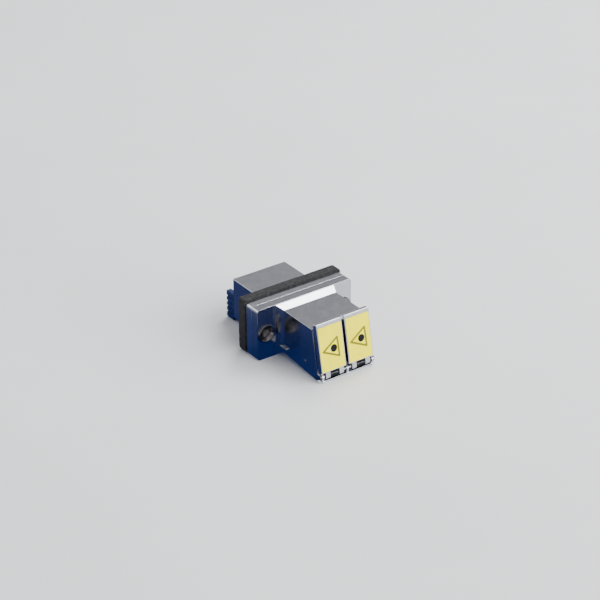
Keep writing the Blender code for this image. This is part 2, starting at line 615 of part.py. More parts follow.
def spring_path(side):
    """Wire's centre line: a leg on the body's floor, the coil, and a leg up the door's back."""
    last = 360 * SPRING_TURNS - math.degrees(DOOR_LEAN)
    sweep = last - 90
    count = round(SPRING_STEPS * sweep / 360)
    points = [(side * SPRING_START_X, PIN_Y + SPRING_LEG, PIN_Z + SPRING_COIL),
              (side * SPRING_START_X, PIN_Y + SPRING_LEG / 2, PIN_Z + SPRING_COIL)]
    for step in range(count + 1):
        angle = math.radians(90 + sweep * step / count)
        x = SPRING_START_X + SPRING_PITCH * sweep * step / count / 360
        points.append((side * x, PIN_Y + SPRING_COIL * math.cos(angle),
                       PIN_Z + SPRING_COIL * math.sin(angle)))
    end_x = points[-1][0]
    for height in (SPRING_LEG / 2, SPRING_LEG):
        points.append((end_x, *hinge_point(SPRING_COIL, height)))
    return points


def make_torsion_spring(name, side):
    curve = bpy.data.curves.new(name, "CURVE")
    curve.dimensions = "3D"
    curve.bevel_depth = SPRING_WIRE
    curve.bevel_resolution = 2
    curve.use_fill_caps = True
    points = spring_path(side)
    spline = curve.splines.new("POLY")
    spline.points.add(len(points) - 1)
    for point, place in zip(spline.points, points):
        point.co = (*place, 1.0)
    add_part(name, solid_from_curve(curve), STEEL)


def make_pair():
    """The pieces that come in a left and a right copy."""
    for side, hand in ((-1, "left"), (1, "right")):
        axis = bpy.data.objects.new(f"{hand}_door_axis", None)
        PARTS.objects.link(axis)
        axis.matrix_world = HINGE_FRAME
        make_door(f"{hand}_door", side, axis)
        make_torsion_spring(f"{hand}_torsion_spring", side)
        make_alignment_sleeve(f"{hand}_alignment_sleeve", side * PORT_X)
        make_mount_bushing(f"{hand}_mount_bushing", side)
        make_insert_pin(f"{hand}_insert_pin", side)


def shade_parts():
    """Smooth shading on every part, with sharp edges kept sharp."""
    for part in PARTS.objects:
        if part.type == "MESH":
            part.data.shade_smooth()
            part.data.set_sharp_from_angle(angle=SHARP)


clear_scene()
PARTS = new_collection("shuttered_duplex_adapter")
CUTTERS = new_collection("cutters")
HINGE_FRAME = Matrix.Translation((0, PIN_Y, PIN_Z)) @ Matrix.Rotation(-DOOR_LEAN, 4, "X")

make_front_housing()
make_rear_housing()
make_gasket()
make_front_port_frame()
make_rear_port_frame()
make_sleeve_holder("front_sleeve_holder", -1)
make_sleeve_holder("rear_sleeve_holder", 1)
make_hinge_pin()
make_pair()
shade_parts()
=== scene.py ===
"""Looks of the shuttered duplex fibre-optic adapter: finishes, fine shapes, floor, lights, camera."""
import json
import math

import bmesh
import bpy
from mathutils import Matrix, Vector, noise


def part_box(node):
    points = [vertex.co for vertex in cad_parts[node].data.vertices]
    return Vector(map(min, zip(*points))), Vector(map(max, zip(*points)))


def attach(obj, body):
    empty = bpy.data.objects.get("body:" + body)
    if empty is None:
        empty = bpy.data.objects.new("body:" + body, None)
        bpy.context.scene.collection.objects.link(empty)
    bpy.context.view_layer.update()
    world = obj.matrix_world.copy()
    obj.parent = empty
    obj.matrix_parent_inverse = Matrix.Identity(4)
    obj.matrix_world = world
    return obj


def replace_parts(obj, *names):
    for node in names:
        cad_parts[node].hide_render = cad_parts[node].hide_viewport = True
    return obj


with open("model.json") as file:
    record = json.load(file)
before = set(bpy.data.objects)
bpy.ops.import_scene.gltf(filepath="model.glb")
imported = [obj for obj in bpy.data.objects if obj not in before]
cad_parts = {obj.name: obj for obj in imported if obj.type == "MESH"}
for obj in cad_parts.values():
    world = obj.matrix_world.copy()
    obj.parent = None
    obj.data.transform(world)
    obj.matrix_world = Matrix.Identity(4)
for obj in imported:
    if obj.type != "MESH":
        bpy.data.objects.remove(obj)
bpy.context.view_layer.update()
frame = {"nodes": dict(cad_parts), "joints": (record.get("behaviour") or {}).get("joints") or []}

MM = 0.001
WELD = 0.001 * MM
FLAT_ANGLE = math.radians(0.5)     # faces that meet flatter than this are one flat area
DOOR_LEAN = math.radians(11)       # the closed doors lean back by this much
SIDES = {"left": -1, "right": 1}
PIN = {joint["child"]: Vector(joint["pos_m"]) for joint in frame["joints"]}
PIN_Y, PIN_Z = PIN["left_door"].y, PIN["left_door"].z
HINGE_FRAME = Matrix.Translation((0, PIN_Y, PIN_Z)) @ Matrix.Rotation(-DOOR_LEAN, 4, "X")


# ---------------------------------------------------------------- node helpers

BEVEL_SAMPLES = 6
EDGE_FROM, EDGE_TO = 0.97, 0.80    # cosine between a face and its rounded normal, where wear starts and ends


def set_inputs(item, values):
    """Set several of a node's sockets by name."""
    for key, value in values.items():
        item.inputs[key].default_value = value


def shade(tone, share, lift=0.0):
    """The tone made darker or brighter, no brighter than 1."""
    return tuple(min(1.0, share * part + lift) for part in tone)


class Finish:
    """A Principled material under construction, with its texture space in millimetres."""

    def __init__(self, name, **sockets):
        self.material = bpy.data.materials.new(name)
        self.material.use_nodes = True
        self.tree = self.material.node_tree
        self.shader = self.tree.nodes["Principled BSDF"]
        set_inputs(self.shader, {key.replace("_", " "): value for key, value in sockets.items()})
        coordinates = self.add("ShaderNodeTexCoord")
        self.space = self.vector_math("SCALE", coordinates.outputs["Object"], Scale=1 / MM)

    def add(self, kind, **settings):
        """A new node with its settings."""
        item = self.tree.nodes.new(kind)
        for key, value in settings.items():
            setattr(item, key, value)
        return item

    def link(self, output, target):
        self.tree.links.new(output, target)

    def vector_math(self, operation, first, second=None, **values):
        item = self.add("ShaderNodeVectorMath", operation=operation)
        self.link(first, item.inputs[0])
        if isinstance(second, (tuple, Vector)):
            item.inputs[1].default_value = second
        elif second is not None:
            self.link(second, item.inputs[1])
        set_inputs(item, values)
        return item.outputs["Value" if operation == "DOT_PRODUCT" else "Vector"]

    def math(self, operation, first, second, clamp=False):
        item = self.add("ShaderNodeMath", operation=operation, use_clamp=clamp)
        for value, target in zip((first, second), item.inputs):
            if isinstance(value, (int, float)):
                target.default_value = value
            else:
                self.link(value, target)
        return item.outputs[0]

    def noise(self, scale, detail=3.0, roughness=0.55, stretch=None, distortion=0.0):
        """Cloudy noise, with its scale per millimetre and stretched along the axes if asked."""
        item = self.add("ShaderNodeTexNoise")
        set_inputs(item, {"Scale": scale, "Detail": detail, "Roughness": roughness,
                          "Distortion": distortion})
        space = self.vector_math("MULTIPLY", self.space, stretch) if stretch else self.space
        self.link(space, item.inputs["Vector"])
        return item.outputs["Fac"]

    def cells(self, scale):
        """Distance to the nearest of many scattered points."""
        item = self.add("ShaderNodeTexVoronoi", feature="F1")
        item.inputs["Scale"].default_value = scale
        self.link(self.space, item.inputs["Vector"])
        return item.outputs["Distance"]

    def spread(self, value, low, high, to_low=0.0, to_high=1.0):
        """value from low to high becomes to_low to to_high, held at the ends."""
        item = self.add("ShaderNodeMapRange")
        set_inputs(item, {"From Min": low, "From Max": high, "To Min": to_low, "To Max": to_high})
        self.link(value, item.inputs["Value"])
        return item.outputs["Result"]

    def ramp(self, value, *stops):
        """Colours along value, from (place, colour) stops."""
        item = self.add("ShaderNodeValToRGB")
        elements = item.color_ramp.elements
        for index, (place, colour) in enumerate(stops):
            element = elements[index] if index < 2 else elements.new(place)
            element.position = place
            element.color = (*colour, 1.0)
        self.link(value, item.inputs["Fac"])
        return item.outputs["Color"]

    def mix(self, factor, first, second):
        """Colours first to second, as the factor goes from 0 to 1."""
        item = self.add("ShaderNodeMix", data_type="RGBA")
        sockets = {socket.identifier: socket for socket in item.inputs}
        for value, key in ((factor, "Factor_Float"), (first, "A_Color"), (second, "B_Color")):
            if isinstance(value, tuple):
                sockets[key].default_value = (*value, 1.0)
            else:
                self.link(value, sockets[key])
        return next(socket for socket in item.outputs if socket.identifier == "Result_Color")

    def rounded_normal(self, radius):
        """The surface's direction, as if its edges were rounded by the radius."""
        bevel = self.add("ShaderNodeBevel", samples=BEVEL_SAMPLES)
        bevel.inputs["Radius"].default_value = radius
        return bevel.outputs["Normal"]

    def edges(self, radius):
        """Near 1 along convex and concave edges, 0 on flats."""
        geometry = self.add("ShaderNodeNewGeometry")
        same = self.vector_math("DOT_PRODUCT", self.rounded_normal(radius), geometry.outputs["Normal"])
        return self.spread(same, EDGE_FROM, EDGE_TO)

    def worn(self, base, radius, amount, tone):
        """The base colour, turning to the tone along edges."""
        return self.mix(self.math("MULTIPLY", self.edges(radius), amount), base, tone)

    def colour(self, output):
        self.link(output, self.shader.inputs["Base Color"])

    def rough(self, output):
        self.link(output, self.shader.inputs["Roughness"])

    def relief(self, *layers, soften=0.0):
        """Bump layers of (height output, depth in metres), over softened edges if asked."""
        normal = self.rounded_normal(soften) if soften else None
        for height, depth in layers:
            bump = self.add("ShaderNodeBump")
            bump.inputs["Distance"].default_value = depth
            self.link(height, bump.inputs["Height"])
            if normal is not None:
                self.link(normal, bump.inputs["Normal"])
            normal = bump.outputs["Normal"]
        self.link(normal, self.shader.inputs["Normal"])


# ---------------------------------------------------------------- materials

def nickel(name, tone, low_rough, high_rough):
    """Plated casting: cloudy tone, fine pores, faint wipe marks, brighter worn edges."""
    finish = Finish(name, Metallic=1.0)
    cloud = finish.noise(0.8, detail=5.0, roughness=0.7)
    pores = finish.noise(7.0, roughness=0.7)
    wipes = finish.noise(1.6, detail=4.0, roughness=0.65, stretch=(0.3, 0.3, 5.0), distortion=0.3)
    satin = finish.noise(16.0, detail=2.0, roughness=0.6)
    body = finish.ramp(cloud, (0.3, shade(tone, 0.90)), (0.7, tone))
    speckled = finish.mix(finish.spread(pores, 0.62, 0.78, 0.0, 0.35), body, shade(tone, 0.55))
    finish.colour(finish.worn(speckled, 0.10 * MM, 0.7, shade(tone, 1.22)))
    gloss = finish.spread(wipes, 0.3, 0.7, low_rough, high_rough)
    finish.rough(finish.math("ADD", gloss, finish.spread(pores, 0.5, 0.8, 0.0, 0.05), clamp=True))
    grain = 0.0015 * MM
    finish.relief((pores, grain), (satin, grain / 3), (wipes, grain / 4), soften=0.05 * MM)
    return finish.material


def steel(name, tone, roughness, lay):
    """Drawn or turned bright metal, with its tool lines along one direction."""
    finish = Finish(name, Metallic=1.0)
    lines = finish.noise(3.0, detail=4.0, roughness=0.7, stretch=lay)
    stain = finish.noise(0.8)
    base = finish.ramp(stain, (0.35, shade(tone, 0.75)), (0.65, tone))
    finish.colour(finish.worn(base, 0.06 * MM, 0.6, shade(tone, 1.3)))
    finish.rough(finish.spread(lines, 0.3, 0.7, roughness * 0.7, roughness * 1.4))
    finish.relief((lines, 0.004 * MM), soften=0.03 * MM)
    return finish.material


def fibre_gasket(name):
    """Conductive felt: dark ground, pale and rusty flecks, matted relief."""
    finish = Finish(name, Metallic=0.15)
    mat = finish.noise(2.2, detail=6.0, roughness=0.7, distortion=1.2)
    strands = finish.noise(3.4, detail=5.0, roughness=0.75, stretch=(1.0, 3.0, 3.0), distortion=2.0)
    flecks = finish.cells(3.1)
    ground = finish.ramp(mat, (0.30, (0.006, 0.006, 0.007)), (0.50, (0.022, 0.022, 0.024)),
                         (0.74, (0.085, 0.083, 0.084)))
    pale = finish.mix(finish.spread(strands, 0.55, 0.70, 0.0, 0.6), ground, (0.12, 0.12, 0.125))
    rust = finish.math("MULTIPLY", finish.spread(finish.noise(0.9, detail=2.0), 0.55, 0.7),
                       finish.spread(flecks, 0.30, 0.12, 0.0, 0.5))
    finish.colour(finish.mix(rust, pale, (0.11, 0.05, 0.045)))
    finish.rough(finish.spread(strands, 0.3, 0.8, 0.92, 0.55))
    finish.relief((mat, 0.06 * MM), (strands, 0.05 * MM))
    return finish.material


def label_film(name, tone):
    """Printed film: slightly uneven ink, paler rubbed edges, faint orange peel."""
    finish = Finish(name, IOR=1.45, Specular_IOR_Level=0.08)
    uneven = finish.noise(0.55, detail=4.0, roughness=0.6)
    speck = finish.noise(7.0, detail=2.0, roughness=0.6)
    base = finish.ramp(uneven, (0.3, shade(tone, 0.90)), (0.7, tone))
    inked = finish.mix(finish.spread(speck, 0.60, 0.75, 0.0, 0.25), base, shade(tone, 1.10, 0.01))
    finish.colour(finish.worn(inked, 0.12 * MM, 0.45, (0.90, 0.88, 0.45)))
    finish.rough(finish.spread(uneven, 0.3, 0.7, 0.38, 0.55))
    finish.relief((speck, 0.002 * MM), (uneven, 0.01 * MM))
    return finish.material


def ink(name, tone, roughness=0.5):
    """Printed ink: patchy cover and gloss."""
    finish = Finish(name, Specular_IOR_Level=0.25)
    patchy = finish.noise(4.0, roughness=0.6)
    finish.colour(finish.ramp(patchy, (0.3, tone), (0.75, shade(tone, 1.4, 0.002))))
    finish.rough(finish.spread(patchy, 0.3, 0.7, roughness - 0.1, roughness + 0.1))
    finish.relief((patchy, 0.002 * MM))
    return finish.material


def plastic(name, tone, roughness):
    """Moulded plastic: spark-eroded grain, flow variation and paler scuffed edges."""
    finish = Finish(name, IOR=1.5)
    grain = finish.noise(8.0, roughness=0.65)
    flow = finish.noise(0.5, roughness=0.5, stretch=(1.0, 0.3, 1.0))
    base = finish.ramp(flow, (0.3, shade(tone, 0.80)), (0.7, tone))
    finish.colour(finish.worn(base, 0.10 * MM, 0.5, shade(tone, 1.6, 0.03)))
    finish.rough(finish.spread(grain, 0.3, 0.7, roughness - 0.08, roughness + 0.1))
    finish.relief((grain, 0.01 * MM), soften=0.05 * MM)
    return finish.material


def ceramic(name, tone):
    """Ground zirconia, faintly lined along its length."""
    finish = Finish(name, IOR=2.1, Subsurface_Weight=0.1, Subsurface_Scale=0.0005)
    ground = finish.noise(5.0, roughness=0.6, stretch=(1.0, 0.2, 1.0))
    finish.colour(finish.ramp(ground, (0.3, shade(tone, 0.92)), (0.7, tone)))
    finish.rough(finish.spread(ground, 0.3, 0.7, 0.12, 0.28))
    finish.relief((ground, 0.003 * MM), soften=0.03 * MM)
    return finish.material


# ---------------------------------------------------------------- mesh helpers

SMOOTH_ANGLE = 16                  # degrees; edges sharper than this stay crisp
CUT_ANGLE = math.radians(50)       # edges sharper than this are rounded by bevelled_copy


def new_piece(name, mesh, material, body):
    """A visible piece with its finish, riding on a body."""
    piece = bpy.data.objects.new(name, mesh)
    bpy.context.scene.collection.objects.link(piece)
    mesh.materials.clear()
    mesh.materials.append(material)
    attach(piece, body)
    return piece


def smooth(mesh, angle):
    mesh.shade_smooth()
    mesh.set_sharp_from_angle(angle=math.radians(angle))


def cad_copy(node):
    """A CAD node's solid as clean bmesh faces: welded, with flat areas merged."""
    bm = bmesh.new()
    bm.from_mesh(frame["nodes"][node].data)
    bmesh.ops.remove_doubles(bm, verts=bm.verts, dist=WELD)
    bmesh.ops.dissolve_limit(bm, angle_limit=FLAT_ANGLE, verts=bm.verts, edges=bm.edges)
    return bm


def finish_mesh(bm, name, angle=SMOOTH_ANGLE):
    """The bmesh as a smooth-shaded mesh, without the CAD copy's own normals."""
    mesh = bpy.data.meshes.new(name)
    bm.to_mesh(mesh)
    bm.free()
    if "custom_normal" in mesh.attributes:
        mesh.attributes.remove(mesh.attributes["custom_normal"])
    smooth(mesh, angle)
    return mesh


def bevelled_copy(node, name, material, body, width=0.0):
    """A CAD node's shape with its cut edges rounded as well."""
    piece = new_piece(name, finish_mesh(cad_copy(node), name), material, body)
    if width:
        bevel = piece.modifiers.new("fine_edges", "BEVEL")
        bevel.width = width
        bevel.segments = 2
        bevel.limit_method = "ANGLE"
        bevel.angle_limit = CUT_ANGLE
    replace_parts(piece, node)


def new_curve(name, dimensions, **settings):
    curve = bpy.data.curves.new(name, "CURVE")
    curve.dimensions = dimensions
    for key, value in settings.items():
        setattr(curve, key, value)
    return curve


def add_line(curve, points, closed):
    """A run of straight segments through the points."""
    spline = curve.splines.new("POLY")
    spline.points.add(len(points) - 1)
    for point, where in zip(spline.points, points):
        point.co = (*where, 1.0)
    spline.use_cyclic_u = closed


def curve_mesh(curve):
    """The curve's surface as one welded mesh."""
    holder = bpy.data.objects.new(curve.name + "_curve", curve)
    bpy.context.scene.collection.objects.link(holder)
    graph = bpy.context.evaluated_depsgraph_get()
    mesh = bpy.data.meshes.new_from_object(holder.evaluated_get(graph))
    bpy.data.objects.remove(holder, do_unlink=True)
    bm = bmesh.new()
    bm.from_mesh(mesh)
    bmesh.ops.remove_doubles(bm, verts=bm.verts, dist=WELD)
    bmesh.ops.recalc_face_normals(bm, faces=bm.faces)
    bm.to_mesh(mesh)
    bm.free()
    return mesh


def local_box(node, matrix):
    """Lowest and highest corner of a CAD node in another frame."""
    inverse = matrix.inverted()
    points = [inverse @ vertex.co for vertex in frame["nodes"][node].data.vertices]
    low = Vector(min(point[axis] for point in points) for axis in range(3))
    high = Vector(max(point[axis] for point in points) for axis in range(3))
    return low, high


# ---------------------------------------------------------------- camera

CAMERA_AZIMUTH = math.radians(-35.57)
CAMERA_ELEVATION = math.radians(29.25)
CAMERA_ROLL = math.radians(-0.18)
CAMERA_DISTANCE = 394.9 * MM
TARGET_X, TARGET_Z = -1.23 * MM, 10.84 * MM
TARGET_AHEAD = 2.0 * MM            # ahead of the front housing's rearmost face
LENS, SENSOR = 116.5, 36.0


def make_camera():
    """The photograph's viewing angle, from the front left and above."""
    target = Vector((TARGET_X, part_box("front_housing")[1].y - TARGET_AHEAD, TARGET_Z))
    back = Vector((math.sin(CAMERA_AZIMUTH) * math.cos(CAMERA_ELEVATION),
                   -math.cos(CAMERA_AZIMUTH) * math.cos(CAMERA_ELEVATION),
                   math.sin(CAMERA_ELEVATION)))
    data = bpy.data.cameras.new("photo_camera")
    data.lens = LENS
    data.sensor_width = SENSOR
    data.clip_start = 0.02
    data.clip_end = 10.0
    camera = bpy.data.objects.new("photo_camera", data)
    bpy.context.scene.collection.objects.link(camera)
    turn = (-back).to_track_quat("-Z", "Y").to_matrix().to_4x4()
    place = Matrix.Translation(target + back * CAMERA_DISTANCE)
    camera.matrix_world = place @ turn @ Matrix.Rotation(CAMERA_ROLL, 4, "Z")
    bpy.context.scene.camera = camera


make_camera()


# ---------------------------------------------------------------- finishes

BODY_METAL = nickel("nickel_body", (0.69, 0.70, 0.74), 0.14, 0.20)
# A lighter copy of the front housing's plating: painted light on the rear housing.
REAR_METAL_LIT = nickel("nickel_rear_lit_copy", (0.79, 0.80, 0.85), 0.14, 0.20)
DOOR_METAL = nickel("nickel_doors", (0.80, 0.80, 0.84), 0.16, 0.21)
BUSHING_METAL = steel("turned_bushing", (0.33, 0.31, 0.315), 0.18, (0.4, 6.0, 0.4))
# Darker steel than the castings, partly painted shade, so the pin reads dark in the hinge's centre slot.
PIN_METAL_AND_SHADE = steel("pin_steel", (0.40, 0.40, 0.42), 0.18, (6.0, 1.0, 1.0))
# Near-black wire: dark steel, darkened further as painted shade so the hinge slots it sits in read black.
SPRING_METAL_AND_SHADE = steel("spring_wire_and_shade", (0.045, 0.045, 0.05), 0.40, (1.0, 1.0, 1.0))
GASKET = fibre_gasket("gasket_felt")
YELLOW = label_film("label_yellow", (1.0, 0.90, 0.0))
PALE_YELLOW = label_film("label_field", (1.0, 0.93, 0.02))
OLIVE = ink("ink_olive", (0.17, 0.155, 0.004))
BLACK = ink("ink_black", (0.004, 0.004, 0.006), 0.65)
PORT_BLUE = plastic("port_blue", (0.002, 0.024, 0.135), 0.42)
HOLDER_GREY = plastic("holder_grey", (0.26, 0.27, 0.29), 0.5)
ZIRCONIA = ceramic("zirconia", (0.86, 0.84, 0.78))


# ---------------------------------------------------------------- castings, frames and holders

bevelled_copy("front_housing", "front_housing_casting", BODY_METAL, "housing", 0.03 * MM)
bevelled_copy("rear_housing", "rear_housing_casting", REAR_METAL_LIT, "housing", 0.05 * MM)
for half in ("front", "rear"):
    bevelled_copy(f"{half}_port_frame", f"{half}_port_moulding", PORT_BLUE, "housing",
                  0.04 * MM)
for half in ("front", "rear"):
    bevelled_copy(f"{half}_sleeve_holder", f"{half}_sleeve_carrier", HOLDER_GREY, "housing")
for hand in SIDES:
    bevelled_copy(f"{hand}_alignment_sleeve", f"{hand}_ferrule_sleeve", ZIRCONIA, "housing")
    bevelled_copy(f"{hand}_insert_pin", f"{hand}_insert_pin_head", PIN_METAL_AND_SHADE, "housing")
    bevelled_copy(f"{hand}_door", f"{hand}_door_casting", DOOR_METAL, f"{hand}_door",
                  0.03 * MM)
bevelled_copy("hinge_pin", "hinge_pin_turned", PIN_METAL_AND_SHADE, "housing")


# ---------------------------------------------------------------- gasket

FELT_CELL = 0.14 * MM              # the felt's mesh size
MATTING = 0.045 * MM               # how far its surface wanders
LUMPS_PER_MM = 1.1
LUMP_OCTAVES = 4


def make_gasket():
    """Felt ring: a fine mesh of the CAD shape, its surface matted and uneven."""
    mesh = finish_mesh(cad_copy("emi_gasket"), "gasket_felt_ring", angle=180)
    ring = new_piece("gasket_felt_ring", mesh, GASKET, "housing")
    remesh = ring.modifiers.new("fine_mesh", "REMESH")
    remesh.mode = "VOXEL"
    remesh.voxel_size = FELT_CELL
    remesh.use_smooth_shade = True
    graph = bpy.context.evaluated_depsgraph_get()
    fine = bpy.data.meshes.new_from_object(ring.evaluated_get(graph))
    ring.modifiers.clear()
    ring.data = fine
    normals = [vertex.normal.copy() for vertex in fine.vertices]
    for vertex, normal in zip(fine.vertices, normals):
        lump = noise.fractal(vertex.co / MM * LUMPS_PER_MM, 1.0, 2.0, LUMP_OCTAVES)
        vertex.co += normal * (lump * MATTING - MATTING / 2)
    fine.shade_smooth()
    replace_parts(ring, "emi_gasket")


make_gasket()


# ---------------------------------------------------------------- labels and their print

TRIANGLE = ((0.06, 0.45), (0.825, 0.225), (0.80, 0.73))    # shares of the label's width and height
DOT_CENTRE = (0.585, 0.468)
DOT_RADIUS = 0.80 * MM
DOT_POINTS = 40
LINE_WIDTH = 0.42 * MM
INK_DEPTH = 0.012 * MM
OUTER_CORNER, INNER_CORNER, FIELD_CORNER = 0.22 * MM, 0.08 * MM, 0.07 * MM
CORNER_STEPS = 6


def flat_piece(name, loops, depth, thickness, material, body):
    """A thin printed shape in the door's frame, at a depth along its Y. loops are (x, z)."""
    curve = new_curve(name, "2D", fill_mode="BOTH", extrude=thickness / 2)
    for loop in loops:
        add_line(curve, [(across, up, 0.0) for across, up in loop], closed=True)
    mesh = curve_mesh(curve)
    upright = Matrix.Translation((0, depth, 0)) @ Matrix.Rotation(math.radians(90), 4, "X")
    mesh.transform(HINGE_FRAME @ upright)
    smooth(mesh, angle=30)
    new_piece(name, mesh, material, body)


def circle(centre, radius, count):
    """Points around a circle."""
    angles = [math.tau * step / count for step in range(count)]
    return [(centre[0] + radius * math.cos(angle), centre[1] + radius * math.sin(angle)) for angle in angles]


def rounded_polygon(corners, radius):
    """Corner points replaced by arcs of the given radius."""
    outline = []
    for index, corner in enumerate(corners):
        here = Vector(corner)
        before = (Vector(corners[index - 1]) - here).normalized()
        after = (Vector(corners[(index + 1) % len(corners)]) - here).normalized()
        half_angle = math.acos(max(-1, min(1, before.dot(after)))) / 2
        centre = here + (before + after).normalized() * radius / math.sin(half_angle)
        first = here + before * radius / math.tan(half_angle) - centre
        last = here + after * radius / math.tan(half_angle) - centre
        start = math.atan2(first.y, first.x)
        sweep = math.atan2(last.y, last.x) - start
        sweep = (sweep + math.pi) % math.tau - math.pi
        for step in range(CORNER_STEPS + 1):
            angle = start + sweep * step / CORNER_STEPS
            outline.append((centre.x + radius * math.cos(angle), centre.y + radius * math.sin(angle)))
    return outline


def inset_triangle(corners, distance):
    """The triangle moved inwards by the distance on every side."""
    a, b, c = (Vector(corner) for corner in corners)
    sides = ((b - c).length, (c - a).length, (a - b).length)
    centre = (a * sides[0] + b * sides[1] + c * sides[2]) / sum(sides)
    area = abs((b - a).cross(c - a)) / 2
    inradius = 2 * area / sum(sides)
    share = 1 - distance / inradius
    return [tuple(centre + (corner - centre) * share) for corner in (a, b, c)]


def make_label(hand):
    """The yellow film and its plain print: a triangle outline, a paler field and a dot."""
    body = f"{hand}_door"
    low, high = local_box(f"{hand}_door_label", HINGE_FRAME)
    bevelled_copy(f"{hand}_door_label", f"{hand}_label_film", YELLOW, body, 0.02 * MM)

    def place(across, up):
        return low.x + across * (high.x - low.x), low.z + up * (high.z - low.z)

    corners = [place(*share) for share in TRIANGLE]
    outer = rounded_polygon(corners, OUTER_CORNER)
    inner = rounded_polygon(inset_triangle(corners, LINE_WIDTH), INNER_CORNER)
    field = rounded_polygon(inset_triangle(corners, LINE_WIDTH + INK_DEPTH), FIELD_CORNER)
    dot = circle(place(*DOT_CENTRE), DOT_RADIUS, DOT_POINTS)
    flat_piece(f"{hand}_label_outline", [outer, inner], low.y - INK_DEPTH / 2, INK_DEPTH, OLIVE, body)
    flat_piece(f"{hand}_label_field", [field], low.y - INK_DEPTH / 4, INK_DEPTH / 2, PALE_YELLOW, body)
    flat_piece(f"{hand}_label_dot", [dot], low.y - INK_DEPTH, INK_DEPTH, BLACK, body)


for hand in SIDES:
    make_label(hand)


# ---------------------------------------------------------------- bushings

COLLAR_DEPTH, COLLAR_STEP, COLLAR_ROUND = 0.35 * MM, 0.05 * MM, 0.12 * MM
SHANK_RADIUS, BORE_RADIUS = 1.5 * MM, 1.1 * MM
SINK_RADIUS, SINK_DEPTH = 1.65 * MM, 0.8 * MM
CHAMFER = 0.04 * MM
THREAD_PITCH, THREAD_DEPTH = 0.4 * MM, 0.13 * MM
CREST_FROM, CREST_TO, ROOT_FROM = 0.4, 0.55, 0.9    # shares of a thread's pitch
TURNED_STEPS = 64


def bushing_profile(radius, length):
    """(radius, depth behind the front face) round a collar, a shank and a threaded, countersunk bore."""
    profile = [(SINK_RADIUS + CHAMFER, 0)]
    for degrees in (0, 30, 60, 90):
        angle = math.radians(degrees)
        profile.append((radius - COLLAR_ROUND + COLLAR_ROUND * math.sin(angle),
                        COLLAR_ROUND - COLLAR_ROUND * math.cos(angle)))
    root = BORE_RADIUS + THREAD_DEPTH
    behind = COLLAR_DEPTH - COLLAR_STEP
    profile += [(radius, behind), (SHANK_RADIUS, behind), (SHANK_RADIUS, length - CHAMFER),
                (SHANK_RADIUS - CHAMFER, length), (root, length)]
    for turn in range(int((length - SINK_DEPTH - 2 * CHAMFER) / THREAD_PITCH)):
        start = length - CHAMFER - turn * THREAD_PITCH
        profile += [(BORE_RADIUS, start - CREST_FROM * THREAD_PITCH),
                    (BORE_RADIUS, start - CREST_TO * THREAD_PITCH), (root, start - ROOT_FROM * THREAD_PITCH)]
    profile += [(BORE_RADIUS, SINK_DEPTH + CHAMFER), (BORE_RADIUS + CHAMFER, SINK_DEPTH - CHAMFER),
                (SINK_RADIUS - CHAMFER, CHAMFER), (SINK_RADIUS, CHAMFER / 2)]
    return profile


def make_bushing(hand):
    """Turned bushing: the collar's front is crisp, its bore is tapped for the mounting screw."""
    low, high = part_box(f"{hand}_mount_bushing")
    middle = (low + high) / 2
    profile = bushing_profile((high.x - low.x) / 2, high.y - low.y)
    name = f"{hand}_mount_bushing_turned"
    bm = bmesh.new()
    points = [bm.verts.new((radius, depth, 0)) for radius, depth in profile]
    edges = [bm.edges.new((points[index - 1], points[index])) for index in range(len(points))]
    bmesh.ops.spin(bm, geom=points + edges, cent=(0, 0, 0), axis=(0, 1, 0), angle=math.tau,
                   steps=TURNED_STEPS, use_merge=True)
    bmesh.ops.remove_doubles(bm, verts=bm.verts, dist=WELD / 10)
    bmesh.ops.recalc_face_normals(bm, faces=bm.faces)
    bmesh.ops.translate(bm, verts=bm.verts, vec=(middle.x, low.y, middle.z))
    piece = new_piece(name, finish_mesh(bm, name, angle=25), BUSHING_METAL, "housing")
    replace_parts(piece, f"{hand}_mount_bushing")


for hand in SIDES:
    make_bushing(hand)


# ---------------------------------------------------------------- springs

COIL_RADIUS = 0.62 * MM            # to the middle of the wire
WIRE_RADIUS = 0.10 * MM
COIL_PITCH = 0.30 * MM
COIL_TURNS = 6
COIL_START_X = 2.42 * MM           # from the centre line
LEG_LENGTH = 1.9 * MM
LEG_SHARES = (0.33, 0.66, 1.0)     # places along a leg, from the coil out
STEPS_PER_TURN = 28


def wire(name, points, body):
    """Round spring wire along the points, as a closed mesh."""
    curve = new_curve(name, "3D", bevel_depth=WIRE_RADIUS, bevel_resolution=3, use_fill_caps=True)
    add_line(curve, points, closed=False)
    mesh = curve_mesh(curve)
    smooth(mesh, angle=50)
    return new_piece(name, mesh, SPRING_METAL_AND_SHADE, body)


def make_spring(hand, side):
    """Coil and fixed leg stay with the housing; the other leg turns with the door."""
    sweep = 360 * COIL_TURNS - math.degrees(DOOR_LEAN) - 90
    count = round(STEPS_PER_TURN * sweep / 360)
    points = [(side * COIL_START_X, PIN_Y + LEG_LENGTH * share, PIN_Z + COIL_RADIUS)
              for share in reversed(LEG_SHARES)]
    for step in range(count + 1):
        angle = math.radians(90 + sweep * step / count)
        across = COIL_START_X + COIL_PITCH * sweep * step / count / 360
        points.append((side * across, PIN_Y + COIL_RADIUS * math.cos(angle),
                       PIN_Z + COIL_RADIUS * math.sin(angle)))
    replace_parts(wire(f"{hand}_spring_coil", points, "housing"), f"{hand}_torsion_spring")
    end_x = points[-1][0]
    leg = [HINGE_FRAME @ Vector((end_x, COIL_RADIUS, LEG_LENGTH * share)) for share in (0, *LEG_SHARES)]
    wire(f"{hand}_spring_leg", leg, f"{hand}_door")


for hand, side in SIDES.items():
    make_spring(hand, side)
